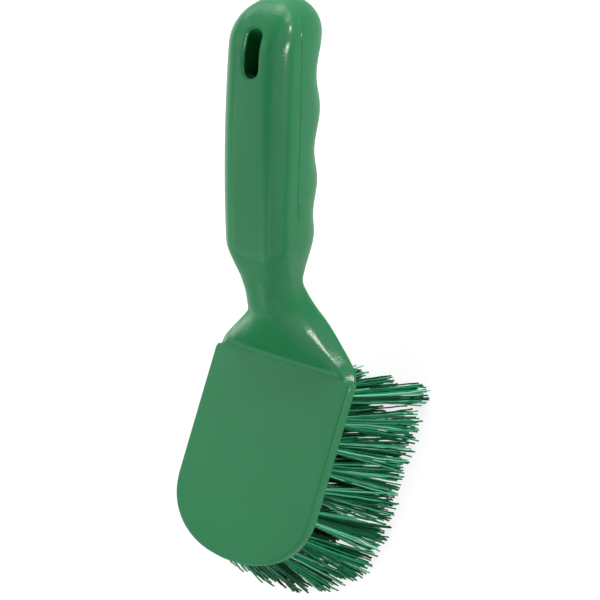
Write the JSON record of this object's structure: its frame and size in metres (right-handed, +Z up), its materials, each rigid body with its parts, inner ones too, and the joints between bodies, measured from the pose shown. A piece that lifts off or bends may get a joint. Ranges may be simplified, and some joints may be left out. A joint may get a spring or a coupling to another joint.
{
  "type": "short-handled brush",
  "caption": "Short-handled scrubbing brush: a domed, round-nosed head with fanned filament tufts, and a rising handle with finger places and a hang slot.",
  "frame": {"origin": "in the plane of the trimmed strand tips, below the middle of the whole brush", "axes": "+X towards the head's rounded front, +Z up out of the head's flat top, the handle rising towards -X"},
  "size_m": [0.267, 0.1168, 0.1554],
  "materials": {
    "moulding": "one-piece green moulding with a low sheen",
    "filament": "stiff green filament, cut square at the tips"
  },
  "bodies": {
    "root": {"stock": "moulding", "tuft_r1_01": "filament", "tuft_r1_02": "filament", "tuft_r1_03": "filament", "tuft_r1_04": "filament", "tuft_r1_05": "filament", "tuft_r1_06": "filament", "tuft_r1_07": "filament", "tuft_r1_08": "filament", "tuft_r1_09": "filament", "tuft_r1_10": "filament", "tuft_r1_11": "filament", "tuft_r1_12": "filament", "tuft_r1_13": "filament", "tuft_r1_14": "filament", "tuft_r1_15": "filament", "tuft_r1_16": "filament", "tuft_r1_17": "filament", "tuft_r1_18": "filament", "tuft_r1_19": "filament", "tuft_r2_01": "filament", "tuft_r2_02": "filament", "tuft_r2_03": "filament", "tuft_r2_04": "filament", "tuft_r2_05": "filament", "tuft_r2_06": "filament", "tuft_r2_07": "filament", "tuft_r2_08": "filament", "tuft_r2_09": "filament", "tuft_r2_10": "filament", "tuft_r2_11": "filament", "tuft_r2_12": "filament", "tuft_r2_13": "filament", "tuft_r2_14": "filament", "tuft_r2_15": "filament", "tuft_r2_16": "filament", "tuft_r3_01": "filament", "tuft_r3_02": "filament", "tuft_r3_03": "filament", "tuft_r3_04": "filament", "tuft_r3_05": "filament", "tuft_r3_06": "filament", "tuft_r3_07": "filament", "tuft_r3_08": "filament", "tuft_r3_09": "filament", "tuft_r3_10": "filament", "tuft_r3_11": "filament", "tuft_r3_12": "filament", "tuft_r3_13": "filament", "tuft_r4_01": "filament", "tuft_r4_02": "filament", "tuft_r4_03": "filament", "tuft_r4_04": "filament", "tuft_r4_05": "filament"}
  },
  "joints": []
}
